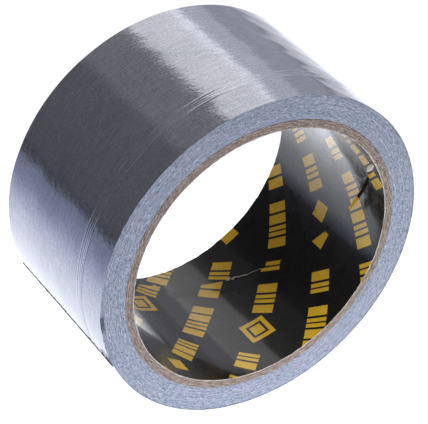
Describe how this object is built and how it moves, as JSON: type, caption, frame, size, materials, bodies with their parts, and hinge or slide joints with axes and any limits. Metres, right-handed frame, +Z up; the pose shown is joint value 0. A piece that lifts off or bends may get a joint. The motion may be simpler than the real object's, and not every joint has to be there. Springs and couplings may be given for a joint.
{
  "type": "duct tape roll",
  "caption": "Cloth tape wound in a close spiral on a printed paperboard core, with a free end that peels up from the roll.",
  "frame": {"origin": "centre of the core's bore, halfway across the roll's width", "axes": "+Y along the roll's axis, away from the front face; +Z up, with the roll standing on its rim; +X to the right seen from the front"},
  "size_m": [0.0953, 0.05, 0.0953],
  "materials": {
    "printed_liner": "black gloss print with yellow marks",
    "core_board": "raw grey-brown board",
    "adhesive": "tacky grey rubber adhesive",
    "scrim": "open woven cotton and polyester cloth",
    "film": "satin silver polyethylene film"
  },
  "bodies": {
    "roll": {"core_liner": "printed_liner", "core_ply_1": "core_board", "core_ply_2": "core_board", "core_ply_3": "core_board", "core_ply_4": "core_board", "tape_adhesive": "adhesive", "tape_scrim": "scrim", "tape_film": "film", "outer_turn_adhesive": "adhesive", "outer_turn_scrim": "scrim", "outer_turn_film": "film"},
    "free_end_1": {"end_adhesive_1": "adhesive", "end_scrim_1": "scrim", "end_film_1": "film"},
    "free_end_2": {"end_adhesive_2": "adhesive", "end_scrim_2": "scrim", "end_film_2": "film"},
    "free_end_3": {"end_adhesive_3": "adhesive", "end_scrim_3": "scrim", "end_film_3": "film"},
    "free_end_4": {"end_adhesive_4": "adhesive", "end_scrim_4": "scrim", "end_film_4": "film", "end_threads": "scrim"}
  },
  "joints": [
    {"name": "end_peel", "type": "hinge", "parent": "roll", "child": "free_end_1", "pos_m": [-0.04236, 0, 0.02201], "axis": [0, 1, 0], "range_deg": [0, 150]},
    {"name": "end_bend_2", "type": "hinge", "parent": "free_end_1", "child": "free_end_2", "pos_m": [-0.04601, 0, 0.01273], "axis": [0, 1, 0], "range_deg": [0, 12.5]},
    {"name": "end_bend_3", "type": "hinge", "parent": "free_end_2", "child": "free_end_3", "pos_m": [-0.04766, 0, 0.0029], "axis": [0, 1, 0], "range_deg": [0, 12.5]},
    {"name": "end_bend_4", "type": "hinge", "parent": "free_end_3", "child": "free_end_4", "pos_m": [-0.04722, 0, -0.00707], "axis": [0, 1, 0], "range_deg": [0, 12.5]}
  ],
  "couplings": [
    {"joint": "end_bend_2", "follows": "end_peel", "ratio": 0.08},
    {"joint": "end_bend_3", "follows": "end_peel", "ratio": 0.08},
    {"joint": "end_bend_4", "follows": "end_peel", "ratio": 0.08}
  ]
}
